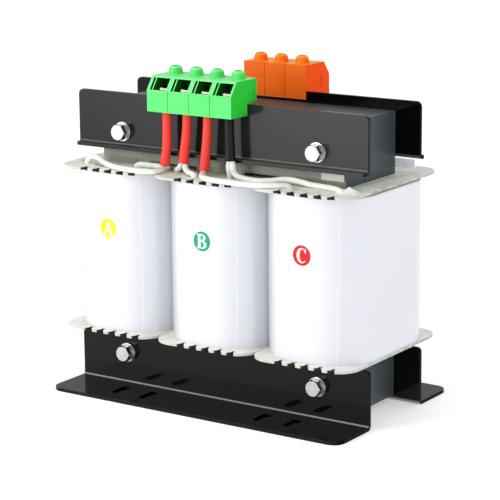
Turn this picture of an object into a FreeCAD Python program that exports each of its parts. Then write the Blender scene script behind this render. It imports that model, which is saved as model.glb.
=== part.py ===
"""Three-phase dry type control transformer with a clamped laminated core.

Frame: origin at the middle of the footprint, on the mounting plane.
+X runs along the clamps, +Y to the rear (orange terminal block), +Z up. Millimetres.
"""
import FreeCAD, Part
import math
import os

V = FreeCAD.Vector

# Core laminations: three limbs and two yokes, all one limb width wide
limb_width = 50.0
window_width = 50.0
window_height = 150.0
stack_depth = 80.0
core_lift = 5.6            # underside of the core above the mounting plane

# Coils on the limbs
bobbin_clearance = 0.3     # between limb and bobbin tube, each side
bobbin_wall = 2.0
bobbin_end_play = 3.6      # under the top yoke
flange_thickness = 2.2
flange_half_x = 49.8
flange_half_y = 79.0
flange_corner = 20.0
plate_half_y = 71.0        # flange without its comb teeth
tooth_pitch = 12.9
tooth_gap = 3.4
tooth_tip_radius = 4.6
tooth_count = 4
tooth_centre = 8.4         # middle of the small teeth from the limb's axis
inner_winding_build_x = 9.2
inner_winding_build_y = 11.7
inner_winding_corner = 12.0
barrier_thickness = 0.8
wrap_half_x = 48.5
wrap_half_y = 68.5
wrap_corner = 34.5
wrap_thickness = 0.6
wrap_top_gap = 2.6         # slit under the upper flange
winding_end_margin = 2.0

# Folded steel clamps
sheet = 3.0
bend_inside = 1.5
pressboard = 1.2           # strip between core and clamp
upper_length = 296.6
upper_height = 49.4
upper_lip = 9.4            # lip depth from the inner face of the web
upper_rise = 9.2           # web top above the core top
upper_corner = 5.0
lower_length = 300.4
lower_height = 51.3
foot_depth = 52.0          # from the inner face of the web
foot_corner = 11.0
lower_corner = 4.0
notch_depth = 7.2
notch_clearance = 0.15
slot_width = 9.0
slot_length = 22.0
slot_x = (60.0, 90.0)
slot_from_web = 27.0       # slot centre from the inner face of the web

# Pressboard strips between the clamps and the core
strip_below_lip = 8.0
strip_margin = 6.0
front_strip_end = 123.5
rear_strip_end = 144.0
wing_below_clamp = 0.2
strip_joints = (-75.0, 72.0, 102.0)

# Clamp bolts
bolt_radius = 4.0
bolt_tube_wall = 1.0
bolt_clearance = 0.15
bolt_head_flats = 13.0
bolt_head_height = 5.3
flat_washer_radius = 8.5
flat_washer_thickness = 1.6
spring_washer_radius = 7.05
spring_washer_thickness = 2.1
spring_washer_split = 1.2
nut_height = 6.8
bolt_tail = 4.0

# Terminal blocks
pole_pitch = 21.6
green_poles = 4
orange_poles = 3
green_centre_x = -12.1
orange_centre_x = 2.5
block_depth = 38.2
block_height = 30.0
slope_run = 8.5
slope_rise = 11.7
green_front = 24.0         # front face of the green block to the web
green_hang = 9.6           # its underside below the top edge of the web
web_slot_play = 0.2
hook_thickness = 4.2
hook_drop = 6.4
back_step = 1.2
orange_skirt = 2.4         # outer underside of the orange block below its seat
block_wall = 1.8
window_left = 6.0          # from the left side of each pole
window_right = 1.8         # from the right side
window_sill = 0.3
roof_thickness = 1.6
finger_slot_left = 2.8
finger_slot_width = 2.2
finger_slot_depth = 3.0
front_floor = 6.0          # floor of the lead chamber
rear_floor = 15.0          # floor under the cage
rear_floor_from_front = 20.6
cavity_from_front = 34.0
line_width = 0.6           # grooves between the poles
line_depth = 0.5
back_line_below_top = 12.2
dome_base_radius = 6.5
dome_top_radius = 5.1
dome_height = 6.8
dome_round = 3.0
dome_from_front = 27.2
driver_hole_radius = 3.2
lead_entry_radius = 5.8
lead_entry_from_front = 12.2
cage_width = 11.0
cage_depth = 12.0
cage_height = 9.0
cage_wall = 1.4
cage_play = 0.6            # to each side wall of its chamber
tongue_rise = 2.3          # above the floor of the cage's mouth
tongue_thickness = 1.6
tongue_width = 7.6
paddle_left = 0.6          # wide end of the tongue, from the pole's middle
paddle_right = 8.6
paddle_depth = 9.0
tongue_start = 3.2         # from the front face
screw_head_radius = 2.7
screw_head_height = 2.6
screw_radius = 1.9
screw_play = 0.1
driver_slot = 0.9
end_recess_depth = 1.0     # joint grooves in the end faces, each from the front and the underside
green_lower_groove = (20.4, 21.9, 3.8, 11.4)
green_upper_groove = (32.8, 34.2, 12.6, 20.6)
orange_groove = (12.4, 14.0, 7.0, 19.0)

# Sleeves and leads on the front
sleeve_radius = 3.95
sleeve_wall = 0.4
sleeve_tuck = 4.0
single_lead = 2.2
paired_lead = 1.7
lead_spacing = 3.44
lead_gap = 0.3             # lead's end below the tongue
lead_hole_radius = 2.8
lead_hole_play = 0.1       # under a lead that lies on the flange
lead_holes = {"left_back": (-40.0, 4.8), "left_front": (-29.0, 15.8),
              "middle_left": (-16.0, 16.8), "middle": (-9.0, 19.3),
              "right_back": (17.0, 5.3), "right_front": (33.0, 14.8)}

# Levels and planes that follow from the sizes above
core_width = 3 * limb_width + 2 * window_width
limb_pitch = limb_width + window_width
yoke_height = limb_width
window_bottom = core_lift + yoke_height
window_top = window_bottom + window_height
core_top = window_top + yoke_height
web_plane = stack_depth / 2 + pressboard
outer_plane = web_plane + sheet
upper_top = core_top + upper_rise
upper_bottom = upper_top - upper_height
bolt_x = core_width / 2 - limb_width / 2
lower_bolt_z = core_lift + yoke_height / 2
upper_bolt_z = window_top + yoke_height / 2
flange_top = window_top - bobbin_end_play
tube_half_x = limb_width / 2 + bobbin_clearance + bobbin_wall
tube_half_y = stack_depth / 2 + bobbin_clearance + bobbin_wall
phases = {"a": -limb_pitch, "b": 0.0, "c": limb_pitch}
tongue_low = rear_floor + cage_wall + tongue_rise


def rounded_outline(half_x, half_y, radius, z):
    """Closed wire of a rounded rectangle about the Z axis."""
    corners = ((1, 1, 0), (-1, 1, 90), (-1, -1, 180), (1, -1, 270))
    edges = []
    ends = []
    for sign_x, sign_y, start in corners:
        centre = V(sign_x * (half_x - radius), sign_y * (half_y - radius), z)
        points = []
        for step in (0, 45, 90):
            angle = math.radians(start + step)
            points.append(centre + V(radius * math.cos(angle), radius * math.sin(angle), 0))
        edges.append(Part.Arc(*points).toShape())
        ends.append((points[0], points[2]))
    lines = []
    for index in range(4):
        first = ends[index][1]
        second = ends[(index + 1) % 4][0]
        lines.append(Part.LineSegment(first, second).toShape())
    ordered = []
    for index in range(4):
        ordered += [edges[index], lines[index]]
    return Part.Wire(ordered)


def rounded_plate(half_x, half_y, radius, z_low, z_high):
    face = Part.Face(rounded_outline(half_x, half_y, radius, z_low))
    return face.extrude(V(0, 0, z_high - z_low))


def ring(outer, inner, z_low, z_high):
    """Tube between two rounded rectangles, each (half_x, half_y, radius)."""
    return rounded_plate(*outer, z_low, z_high).cut(rounded_plate(*inner, z_low, z_high))


def box(x_low, x_high, y_low, y_high, z_low, z_high):
    return Part.makeBox(x_high - x_low, y_high - y_low, z_high - z_low, V(x_low, y_low, z_low))


def cylinder_y(radius, x, z, y_low, y_high):
    return Part.makeCylinder(radius, y_high - y_low, V(x, y_low, z), V(0, 1, 0))


def extrude_profile(points, x_low, x_high):
    """Solid from a (y, z) outline, drawn at x_low and run to x_high."""
    corners = [V(x_low, y, z) for y, z in points]
    wire = Part.makePolygon(corners + corners[:1])
    return Part.Face(wire).extrude(V(x_high - x_low, 0, 0))


def edges_where(shape, **place):
    """Straight edges whose ends both lie at the named coordinates."""
    found = []
    for edge in shape.Edges:
        fits = True
        for vertex in edge.Vertexes:
            for axis, value in place.items():
                if abs(getattr(vertex, axis.upper()) - value) > 1e-4:
                    fits = False
        if fits and len(edge.Vertexes) == 2:
            found.append(edge)
    return found


def turned(shape):
    """The same piece turned half round about the Z axis."""
    copy = shape.copy()
    copy.rotate(V(0, 0, 0), V(0, 0, 1), 180)
    return copy


def moved(shape, x=0.0, y=0.0, z=0.0):
    copy = shape.copy()
    copy.translate(V(x, y, z))
    return copy


def hexagon(flats, height, x, z, y_low):
    """Hexagonal prism along +Y with a flat at the top."""
    reach = flats / math.sqrt(3)
    points = []
    for side in range(7):
        angle = math.radians(60 * side)
        points.append(V(x + reach * math.cos(angle), y_low, z + reach * math.sin(angle)))
    return Part.Face(Part.makePolygon(points)).extrude(V(0, height, 0))


# Core
def core_e_stack():
    half = core_width / 2
    depth = stack_depth / 2
    body = box(-half, half, -depth, depth, core_lift, window_bottom)
    for centre in phases.values():
        limb = box(centre - limb_width / 2, centre + limb_width / 2, -depth, depth,
                   window_bottom, window_top)
        body = body.fuse(limb)
    body = body.removeSplitter()
    for x in (-bolt_x, bolt_x):
        body = body.cut(tube_hole(x, lower_bolt_z))
    return body


def core_top_yoke():
    half = core_width / 2
    depth = stack_depth / 2
    body = box(-half, half, -depth, depth, window_top, core_top)
    for x in (-bolt_x, bolt_x):
        body = body.cut(tube_hole(x, upper_bolt_z))
    return body


def tube_hole(x, z):
    radius = bolt_radius + 2 * bolt_clearance + bolt_tube_wall
    return cylinder_y(radius, x, z, -web_plane, web_plane)


# Coils
def comb_flange(z_low):
    """Bobbin end plate: wide corner teeth and four narrow ones on each long edge."""
    z_high = z_low + flange_thickness
    plate = rounded_plate(flange_half_x, flange_half_y, flange_corner, z_low, z_high)
    comb_width = tooth_count * tooth_pitch
    comb_left = tooth_centre - comb_width / 2
    cutters = []
    for index in range(tooth_count + 1):
        x = comb_left + index * tooth_pitch
        slit = box(x - tooth_gap / 2, x + tooth_gap / 2, -flange_half_y - 1, -plate_half_y,
                   z_low, z_high)
        cutters.append(slit)
        for side in (-1, 1):
            corner = V(x + side * tooth_gap / 2, -flange_half_y, z_low)
            cutters.append(tip_round(corner, side, z_high - z_low))
    for cutter in cutters:
        plate = plate.cut(cutter)
        plate = plate.cut(turned(cutter))
    return plate


def tip_round(corner, side, height):
    """What is left outside a rounded tooth tip at this corner."""
    r = tooth_tip_radius
    across = V(corner.x + side * r, corner.y, corner.z)
    inward = V(corner.x, corner.y + r, corner.z)
    outside = V(corner.x - side * 0.01, corner.y - 0.01, corner.z)
    middle = V(corner.x + side * r * (1 - math.sqrt(0.5)), corner.y + r * (1 - math.sqrt(0.5)),
               corner.z)
    beyond_x = V(outside.x, inward.y, corner.z)
    beyond_y = V(across.x, outside.y, corner.z)
    edges = [Part.Arc(inward, middle, across).toShape(),
             Part.makeLine(across, beyond_y), Part.makeLine(beyond_y, outside),
             Part.makeLine(outside, beyond_x), Part.makeLine(beyond_x, inward)]
    return Part.Face(Part.Wire(edges)).extrude(V(0, 0, height))


def bobbin():
    """Moulded coil former, about the Z axis."""
    lower = comb_flange(window_bottom)
    upper = comb_flange(flange_top - flange_thickness)
    tube = rounded_plate(tube_half_x, tube_half_y, bobbin_wall, window_bottom, flange_top)
    bore = box(-tube_half_x + bobbin_wall, tube_half_x - bobbin_wall,
               -tube_half_y + bobbin_wall, tube_half_y - bobbin_wall,
               window_bottom, flange_top)
    body = lower.fuse([upper, tube]).removeSplitter().cut(bore)
    for x, ahead in lead_holes.values():
        foot = V(x, -outer_plane - ahead, flange_top - 1.5 * flange_thickness)
        body = body.cut(Part.makeCylinder(lead_hole_radius, 2 * flange_thickness, foot))
    return body


def winding_profiles():
    tube = (tube_half_x, tube_half_y, bobbin_wall)
    inner = (tube_half_x + inner_winding_build_x, tube_half_y + inner_winding_build_y,
             inner_winding_corner)
    barrier = tuple(size + barrier_thickness for size in inner)
    outer = (wrap_half_x - wrap_thickness, wrap_half_y - wrap_thickness,
             wrap_corner - wrap_thickness)
    wrap = (wrap_half_x, wrap_half_y, wrap_corner)
    return tube, inner, barrier, outer, wrap


def coil_layers():
    """Winding, barrier, winding and film wrap of one phase, about the Z axis."""
    tube, inner, barrier, outer, wrap = winding_profiles()
    floor = window_bottom + flange_thickness
    roof = flange_top - flange_thickness
    low = floor + winding_end_margin
    high = roof - winding_end_margin
    return {
        "inner_winding": ring(inner, tube, low, high),
        "barrier": ring(barrier, inner, floor, roof),
        "outer_winding": ring(outer, barrier, low, high),
        "coil_wrap": ring(wrap, outer, floor, roof - wrap_top_gap),
    }


# Clamps, drawn for the front and turned round for the rear
def angle_section(depth, z_low, z_high, length):
    """Folded angle: upright web with its foot turned outward, to the front."""
    inner = -web_plane
    web = inner - sheet
    edge = inner - depth
    points = [(inner, z_low), (edge, z_low), (edge, z_low + sheet), (web, z_low + sheet),
              (web, z_high), (inner, z_high)]
    body = extrude_profile(points, -length / 2, length / 2)
    fold = edges_where(body, y=web, z=z_low + sheet)
    body = body.makeFillet(bend_inside, fold)
    heel = edges_where(body, y=inner, z=z_low)
    return body.makeFillet(bend_inside + sheet, heel)


def round_upright_corners(body, length, z_high, radius):
    for x in (-length / 2, length / 2):
        body = body.makeFillet(radius, edges_where(body, x=x, z=z_high))
    return body


def round_foot_corners(body, length, depth, radius):
    for x in (-length / 2, length / 2):
        body = body.makeFillet(radius, edges_where(body, x=x, y=-web_plane - depth))
    return body


def upper_clamp():
    body = angle_section(upper_lip, upper_bottom, upper_top, upper_length)
    body = round_upright_corners(body, upper_length, upper_top, upper_corner)
    body = round_foot_corners(body, upper_length, upper_lip, upper_lip / 3)
    half = orange_poles * pole_pitch / 2 + notch_clearance
    notch = box(-orange_centre_x - half, -orange_centre_x + half, -outer_plane, -web_plane,
                upper_top - notch_depth, upper_top)
    body = body.cut(notch)
    for x in (-bolt_x, bolt_x):
        body = body.cut(bolt_hole(x, upper_bolt_z))
    return body


def lower_clamp():
    body = angle_section(foot_depth, 0.0, lower_height, lower_length)
    body = round_upright_corners(body, lower_length, lower_height, lower_corner)
    body = round_foot_corners(body, lower_length, foot_depth, foot_corner)
    for x in (-bolt_x, bolt_x):
        body = body.cut(bolt_hole(x, lower_bolt_z))
    for x in slot_x:
        for side in (-1, 1):
            body = body.cut(foot_slot(side * x))
    return body


def bolt_hole(x, z):
    return cylinder_y(bolt_radius + bolt_clearance, x, z, -outer_plane - 1, -web_plane + 1)


def foot_slot(x):
    y = -web_plane - slot_from_web
    straight = (slot_length - slot_width) / 2
    radius = slot_width / 2
    slot = box(x - radius, x + radius, y - straight, y + straight, 0, sheet)
    for end in (-straight, straight):
        slot = slot.fuse(Part.makeCylinder(radius, sheet, V(x, y + end, 0)))
    return slot


# Pressboard strips
def strip_row(ends, z_low, z_high, bolt_z):
    """Strips end to end on the front face of the core."""
    pieces = []
    for left, right in zip(ends[:-1], ends[1:]):
        strip = box(left, right, -web_plane, -stack_depth / 2, z_low, z_high)
        for x in (-bolt_x, bolt_x):
            strip = strip.cut(cylinder_y(bolt_radius + bolt_clearance, x, bolt_z,
                                         -web_plane, -stack_depth / 2))
        pieces.append(strip)
    return Part.makeCompound(pieces)


def upper_strip(ends):
    return strip_row(ends, upper_bottom - strip_below_lip, core_top - strip_margin, upper_bolt_z)


def upper_rear_strip():
    """One strip whose lower edge runs on past the core in two low wings."""
    low = upper_bottom - strip_below_lip
    strip = upper_strip((-front_strip_end, front_strip_end)).Solids[0]
    wings = box(-rear_strip_end, rear_strip_end, -web_plane, -stack_depth / 2, low,
                upper_bottom - wing_below_clamp)
    return strip.fuse(wings).removeSplitter()


def lower_strip(end):
    return strip_row((-end, end), core_lift + strip_margin, lower_height - strip_margin,
                     lower_bolt_z)


# Bolts
def bolt_places():
    return [(x, z) for z in (lower_bolt_z, upper_bolt_z) for x in (-bolt_x, bolt_x)]


def through_bolts():
    stack = flat_washer_thickness + spring_washer_thickness
    head_y = -outer_plane - stack
    tail_y = outer_plane + stack + nut_height + bolt_tail
    bolts = []
    for x, z in bolt_places():
        head = hexagon(bolt_head_flats, bolt_head_height, x, z, head_y - bolt_head_height)
        bevel = Part.makeCone(bolt_head_flats / 2, bolt_head_flats / 2 + bolt_head_height,
                              bolt_head_height, V(x, head_y - bolt_head_height, z), V(0, 1, 0))
        head = head.common(bevel)
        shank = cylinder_y(bolt_radius, x, z, head_y, tail_y)
        shank = shank.makeChamfer(bolt_radius / 6, [end_edge(shank, tail_y)])
        bolts.append(head.fuse(shank).removeSplitter())
    return Part.makeCompound(bolts)


def end_edge(shape, y):
    for edge in shape.Edges:
        if len(edge.Vertexes) == 1 and abs(edge.Vertexes[0].Y - y) < 1e-4:
            return edge


def washer(outer, thickness, x, z, y_low):
    disc = cylinder_y(outer, x, z, y_low, y_low + thickness)
    return disc.cut(cylinder_y(bolt_radius + bolt_clearance, x, z, y_low, y_low + thickness))


def flat_washers():
    rings = []
    for x, z in bolt_places():
        for y_low in (-outer_plane - flat_washer_thickness, outer_plane):
            rings.append(washer(flat_washer_radius, flat_washer_thickness, x, z, y_low))
    return Part.makeCompound(rings)


def spring_washers():
    rings = []
    front = -outer_plane - flat_washer_thickness - spring_washer_thickness
    rear = outer_plane + flat_washer_thickness
    for x, z in bolt_places():
        for y_low in (front, rear):
            coil = washer(spring_washer_radius, spring_washer_thickness, x, z, y_low)
            split = box(x - spring_washer_split / 2, x + spring_washer_split / 2,
                        y_low, y_low + spring_washer_thickness,
                        z, z + spring_washer_radius)
            rings.append(coil.cut(split))
    return Part.makeCompound(rings)


def hex_nuts():
    nuts = []
    y_low = outer_plane + flat_washer_thickness + spring_washer_thickness
    for x, z in bolt_places():
        nut = hexagon(bolt_head_flats, nut_height, x, z, y_low)
        bevel = Part.makeCone(bolt_head_flats / 2 + nut_height, bolt_head_flats / 2,
                              nut_height, V(x, y_low, z), V(0, 1, 0))
        nut = nut.common(bevel)
        nuts.append(nut.cut(cylinder_y(bolt_radius, x, z, y_low, y_low + nut_height)))
    return Part.makeCompound(nuts)


def bolt_tubes():
    """Insulating tubes that keep the bolts clear of the laminations."""
    tubes = []
    inner = bolt_radius + bolt_clearance
    for x, z in bolt_places():
        tube = cylinder_y(inner + bolt_tube_wall, x, z, -stack_depth / 2, stack_depth / 2)
        tubes.append(tube.cut(cylinder_y(inner, x, z, -stack_depth / 2, stack_depth / 2)))
    return Part.makeCompound(tubes)


# Terminal blocks, drawn with the front face at y = 0 and the top at z = block_height
def pole_centres(poles):
    first = -(poles - 1) * pole_pitch / 2
    return [first + index * pole_pitch for index in range(poles)]


def green_outline():
    """Housing section with a slot that drops over the top edge of the web."""
    web_back = green_front + sheet + web_slot_play
    hook_back = web_back + hook_thickness
    step = green_hang + back_step
    return [(0, 0), (0, block_height - slope_rise), (slope_run, block_height),
            (block_depth, block_height), (block_depth, step), (hook_back, step),
            (hook_back, green_hang - hook_drop), (web_back, green_hang - hook_drop),
            (web_back, green_hang), (green_front, green_hang), (green_front, 0)]


def orange_outline():
    """Housing section that stands in the notch, flush with the inner face of the web."""
    web_front = block_depth - sheet
    return [(0, -orange_skirt), (0, block_height - slope_rise), (slope_run, block_height),
            (block_depth, block_height), (block_depth, 0), (web_front, 0),
            (web_front, -orange_skirt)]


def housing(outline, poles):
    half = poles * pole_pitch / 2
    body = extrude_profile(outline, -half, half)
    for x in pole_centres(poles):
        body = body.fuse(dome(x))
    body = body.removeSplitter()
    for x in pole_centres(poles):
        for cutter in pole_cutters(x):
            body = body.cut(cutter)
    for x in pole_centres(poles)[:-1]:
        edge = x + pole_pitch / 2
        for y_low in (0, block_depth - line_depth):
            body = body.cut(box(edge - line_width / 2, edge + line_width / 2,
                                y_low, y_low + line_depth, -orange_skirt, block_height))
    return body


def dome(x):
    cone = Part.makeCone(dome_base_radius, dome_top_radius, dome_height,
                         V(x, dome_from_front, block_height), V(0, 0, 1))
    rim = [edge for edge in cone.Edges
           if len(edge.Vertexes) == 1
           and abs(edge.Vertexes[0].Z - block_height - dome_height) < 1e-4]
    return cone.makeFillet(dome_round, rim)


def pole_cutters(x):
    """Lead chamber, cage chamber, window, driver hole, lead entry and finger slot."""
    left = x - pole_pitch / 2 + window_left
    right = x + pole_pitch / 2 - window_right
    roof = block_height - roof_thickness
    sill = block_height - slope_rise + window_sill
    lead_chamber = box(left, right, block_wall, rear_floor_from_front, front_floor, roof)
    cage_half = cage_width / 2 + cage_play
    cage_chamber = box(x - cage_half, x + cage_half, rear_floor_from_front, cavity_from_front,
                       rear_floor, roof)
    window = box(left, right, -1, block_wall, sill, roof)
    driver = Part.makeCylinder(driver_hole_radius, roof_thickness + dome_height + 1,
                               V(x, dome_from_front, roof - 0.5))
    entry = Part.makeCylinder(lead_entry_radius, front_floor + orange_skirt + 1,
                              V(x, lead_entry_from_front, -orange_skirt - 0.5))
    slot_low = x - pole_pitch / 2 + finger_slot_left
    slot = box(slot_low, slot_low + finger_slot_width, -1, slope_run + finger_slot_depth,
               sill, roof)
    return [lead_chamber, cage_chamber, window, driver, entry, slot]


def end_recess(side, poles, span):
    """Shallow joint groove in one end face."""
    face = side * poles * pole_pitch / 2
    inner = face - side * end_recess_depth
    return box(min(face, inner), max(face, inner), *span)


def green_housing():
    body = housing(green_outline(), green_poles)
    body = body.cut(end_recess(1, green_poles, green_lower_groove))
    return body.cut(end_recess(1, green_poles, green_upper_groove))


def orange_housing():
    body = housing(orange_outline(), orange_poles)
    half = orange_poles * pole_pitch / 2
    z = block_height - back_line_below_top
    body = body.cut(box(-half, half, block_depth - line_depth, block_depth,
                        z - line_width / 2, z + line_width / 2))
    return body.cut(end_recess(-1, orange_poles, orange_groove))


def cages(poles):
    """Square wire clamps on the chamber floor, their mouths to the window."""
    pieces = []
    low_y = dome_from_front - cage_depth / 2
    high_y = low_y + cage_depth
    top = rear_floor + cage_height
    for x in pole_centres(poles):
        cage = box(x - cage_width / 2, x + cage_width / 2, low_y, high_y, rear_floor, top)
        mouth = box(x - cage_width / 2 + cage_wall, x + cage_width / 2 - cage_wall,
                    low_y, high_y, rear_floor + cage_wall, top - cage_wall)
        thread = Part.makeCylinder(screw_radius + screw_play, 2 * cage_wall,
                                   V(x, dome_from_front, top - 1.5 * cage_wall))
        pieces.append(cage.cut(mouth).cut(thread))
    return Part.makeCompound(pieces)


def tongues(poles):
    """Contact bars from behind the window through the cages to the back wall."""
    bars = []
    top = tongue_low + tongue_thickness
    for x in pole_centres(poles):
        bar = box(x - tongue_width / 2, x + tongue_width / 2, tongue_start + paddle_depth / 2,
                  cavity_from_front, tongue_low, top)
        paddle = box(x + paddle_left, x + paddle_right, tongue_start,
                     tongue_start + paddle_depth, tongue_low, top)
        bars.append(bar.fuse(paddle).removeSplitter())
    return Part.makeCompound(bars)


def clamp_screws(poles):
    screws = []
    tip = tongue_low + tongue_thickness
    head_low = rear_floor + cage_height + cage_wall
    for x in pole_centres(poles):
        shank = Part.makeCylinder(screw_radius, head_low - tip, V(x, dome_from_front, tip))
        head = Part.makeCylinder(screw_head_radius, screw_head_height,
                                 V(x, dome_from_front, head_low))
        slot = box(x - screw_head_radius, x + screw_head_radius,
                   dome_from_front - driver_slot / 2, dome_from_front + driver_slot / 2,
                   head_low + screw_head_height / 2, head_low + screw_head_height)
        screws.append(shank.fuse(head).removeSplitter().cut(slot))
    return Part.makeCompound(screws)


def on_front_clamp(shape):
    return moved(shape, green_centre_x, -outer_plane - green_front, upper_top - green_hang)


def on_rear_clamp(shape):
    placed = moved(shape, -orange_centre_x, -web_plane - block_depth, upper_top - notch_depth)
    return turned(placed)


# Sleeves and leads
def tube_along(points, radius):
    """Round tube on straight runs joined by tangent arcs."""
    route = [V(*point) for point in points]
    edges = []
    start = route[0]
    radii = []
    for before, corner, after in zip(route[:-2], route[1:-1], route[2:]):
        run_in = corner - before
        run_out = after - corner
        reach = 0.45 * min(run_in.Length, run_out.Length)
        turn = run_in.getAngle(run_out)
        arc_radius = reach / math.tan(turn / 2)
        radii.append(round(arc_radius, 1))
        into = V(run_in).normalize()
        out = V(run_out).normalize()
        first = corner - into * reach
        last = corner + out * reach
        inward = (out - into).normalize()
        centre = corner + inward * (arc_radius / math.cos(turn / 2))
        middle = centre - inward * arc_radius
        edges.append(Part.LineSegment(start, first).toShape())
        edges.append(Part.Arc(first, middle, last).toShape())
        start = last
    edges.append(Part.LineSegment(start, route[-1]).toShape())
    path = Part.Wire(edges)
    ring_wire = Part.Wire(Part.makeCircle(radius, route[0], route[1] - route[0]))
    tube = path.makePipeShell([ring_wire], True, False)
    ideal = math.pi * radius ** 2 * path.Length
    print("   arc radii", radii, "length", round(path.Length, 1),
          "volume ratio", round(tube.Volume / ideal, 4))
    return tube


def lead_start(pole, offset=0.0):
    """Underside of a green pole's tongue, above the lead entry."""
    x = green_centre_x + pole_centres(green_poles)[pole] + offset
    y = -outer_plane - green_front + lead_entry_from_front
    z = upper_top - green_hang + tongue_low - lead_gap
    return (x, y, z)


def above_flange(points):
    return [(x, -outer_plane - ahead, flange_top + rise) for x, ahead, rise in points]


def lead_end(phase, hole, radius):
    """Down through a hole in the upper flange to the top of the outer winding."""
    x = phases[phase] + lead_holes[hole][0]
    y = -outer_plane - lead_holes[hole][1]
    low = flange_top - flange_thickness - winding_end_margin
    return [(x, y, flange_top + radius + lead_hole_play), (x, y, low)]


# Lower end of each sleeve: across, ahead of the front clamp, and above the upper flanges
sleeve_ends = {"red_sleeve_1": (-48.3, 11.8, 6.0), "red_sleeve_2": (-28.2, 11.8, 10.0),
               "red_sleeve_3": (-5.4, 11.8, 6.6), "black_sleeve_4": (21.6, 11.8, 16.5)}
sides = {"left": -1, "alone": 0, "right": 1}

# Chosen points of each lead, from below its sleeve to beside its hole in the flange
lead_routes = {
    "lead_1a": ("red_sleeve_1", "left",
                [(-50.2, 11.8, 1.9), (-48.2, 20.8, 1.8), (-47.6, 31.4, 1.8),
                 (-62.0, 32.6, 1.8), (-78.0, 31.6, 1.8), (-93.0, 25.8, 1.8),
                 (-106.0, 17.8, 2.6), (-117.0, 12.3, 6.6), (-125.0, 14.3, 4.5)],
                "a", "left_front"),
    "lead_1b": ("red_sleeve_1", "right",
                [(-46.75, 11.8, 2.8), (-45.6, 6.2, 1.9), (-56.0, 4.8, 1.8),
                 (-70.0, 5.6, 1.8)], "a", "right_back"),
    "lead_2a": ("red_sleeve_2", "right", [(-27.0, 11.8, 3.6), (-20.0, 14.8, 1.9)],
                "b", "middle"),
    "lead_2b": ("red_sleeve_2", "left", [(-30.4, 11.8, 4.0)], "b", "left_back"),
    "lead_3": ("red_sleeve_3", "alone",
               [(-5.55, 11.8, 2.4), (3.0, 22.3, 2.3), (14.0, 31.2, 2.3), (29.0, 32.3, 2.3),
                (45.0, 31.8, 2.3), (60.0, 31.4, 2.3), (73.0, 25.8, 2.3)],
               "c", "middle_left"),
    "lead_4a": ("black_sleeve_4", "right",
                [(23.4, 11.8, 11.5), (24.0, 10.8, 4.0), (32.0, 12.3, 1.9),
                 (44.0, 15.8, 1.8), (55.0, 16.8, 1.8), (65.0, 13.3, 2.8),
                 (75.0, 8.2, 4.4), (87.0, 7.4, 3.4), (99.0, 8.1, 1.9),
                 (112.0, 8.8, 1.8), (123.0, 11.2, 1.8)], "c", "right_front"),
    "lead_4b": ("black_sleeve_4", "left", [(20.0, 11.8, 9.5)], "b", "right_back"),
}


def sleeve(name):
    """Straight sleeve from inside the housing to its lower end."""
    top = V(*lead_start(list(sleeve_ends).index(name)))
    end = V(*above_flange([sleeve_ends[name]])[0])
    axis = (end - top).normalize()
    inside = upper_top - green_hang + sleeve_tuck
    start = top + axis * ((top.z - inside) / -axis.z)
    length = (end - start).Length
    tube = Part.makeCylinder(sleeve_radius, length, start, axis)
    return tube.cut(Part.makeCylinder(sleeve_radius - sleeve_wall, length, start, axis))


def lead(sleeve_name, side, points, phase, hole):
    radius = single_lead if side == "alone" else paired_lead
    pole = list(sleeve_ends).index(sleeve_name)
    start = lead_start(pole, sides[side] * lead_spacing / 2)
    return tube_along([start] + above_flange(points) + lead_end(phase, hole, radius), radius)


def write(name, shape):
    shape.exportStep("parts/" + name + ".step")
    print(name, len(shape.Solids), "solids", round(shape.Volume / 1000.0, 2), "cm3")


def main():
    os.makedirs("parts", exist_ok=True)
    write("core_e_stack", core_e_stack())
    write("core_top_yoke", core_top_yoke())
    former = bobbin()
    layers = coil_layers()
    for phase, x in phases.items():
        write("bobbin_" + phase, moved(former, x))
        for layer, shape in layers.items():
            write(layer + "_" + phase, moved(shape, x))
    write("upper_clamp_front", upper_clamp())
    write("upper_clamp_rear", turned(upper_clamp()))
    write("lower_clamp_front", lower_clamp())
    write("lower_clamp_rear", turned(lower_clamp()))
    write("pressboard_upper_front", upper_strip((-front_strip_end,) + strip_joints
                                                + (front_strip_end,)))
    write("pressboard_upper_rear", turned(upper_rear_strip()))
    write("pressboard_lower_front", lower_strip(front_strip_end))
    write("pressboard_lower_rear", turned(lower_strip(front_strip_end)))
    write("through_bolts", through_bolts())
    write("flat_washers", flat_washers())
    write("spring_washers", spring_washers())
    write("hex_nuts", hex_nuts())
    write("bolt_tubes", bolt_tubes())
    write("green_terminal_block", on_front_clamp(green_housing()))
    write("green_cages", on_front_clamp(cages(green_poles)))
    write("green_tongues", on_front_clamp(tongues(green_poles)))
    write("green_screws", on_front_clamp(clamp_screws(green_poles)))
    write("orange_terminal_block", on_rear_clamp(orange_housing()))
    write("orange_cages", on_rear_clamp(cages(orange_poles)))
    write("orange_tongues", on_rear_clamp(tongues(orange_poles)))
    write("orange_screws", on_rear_clamp(clamp_screws(orange_poles)))
    for name in sleeve_ends:
        write(name, sleeve(name))
    for name, route in lead_routes.items():
        write(name, lead(*route))


main()
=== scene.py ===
"""Looks of the dry type transformer: finishes, stickers, threads, sleeves, camera, light."""
import math

import bmesh
import bpy
from mathutils import Matrix, Vector
from mathutils import noise as field


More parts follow.
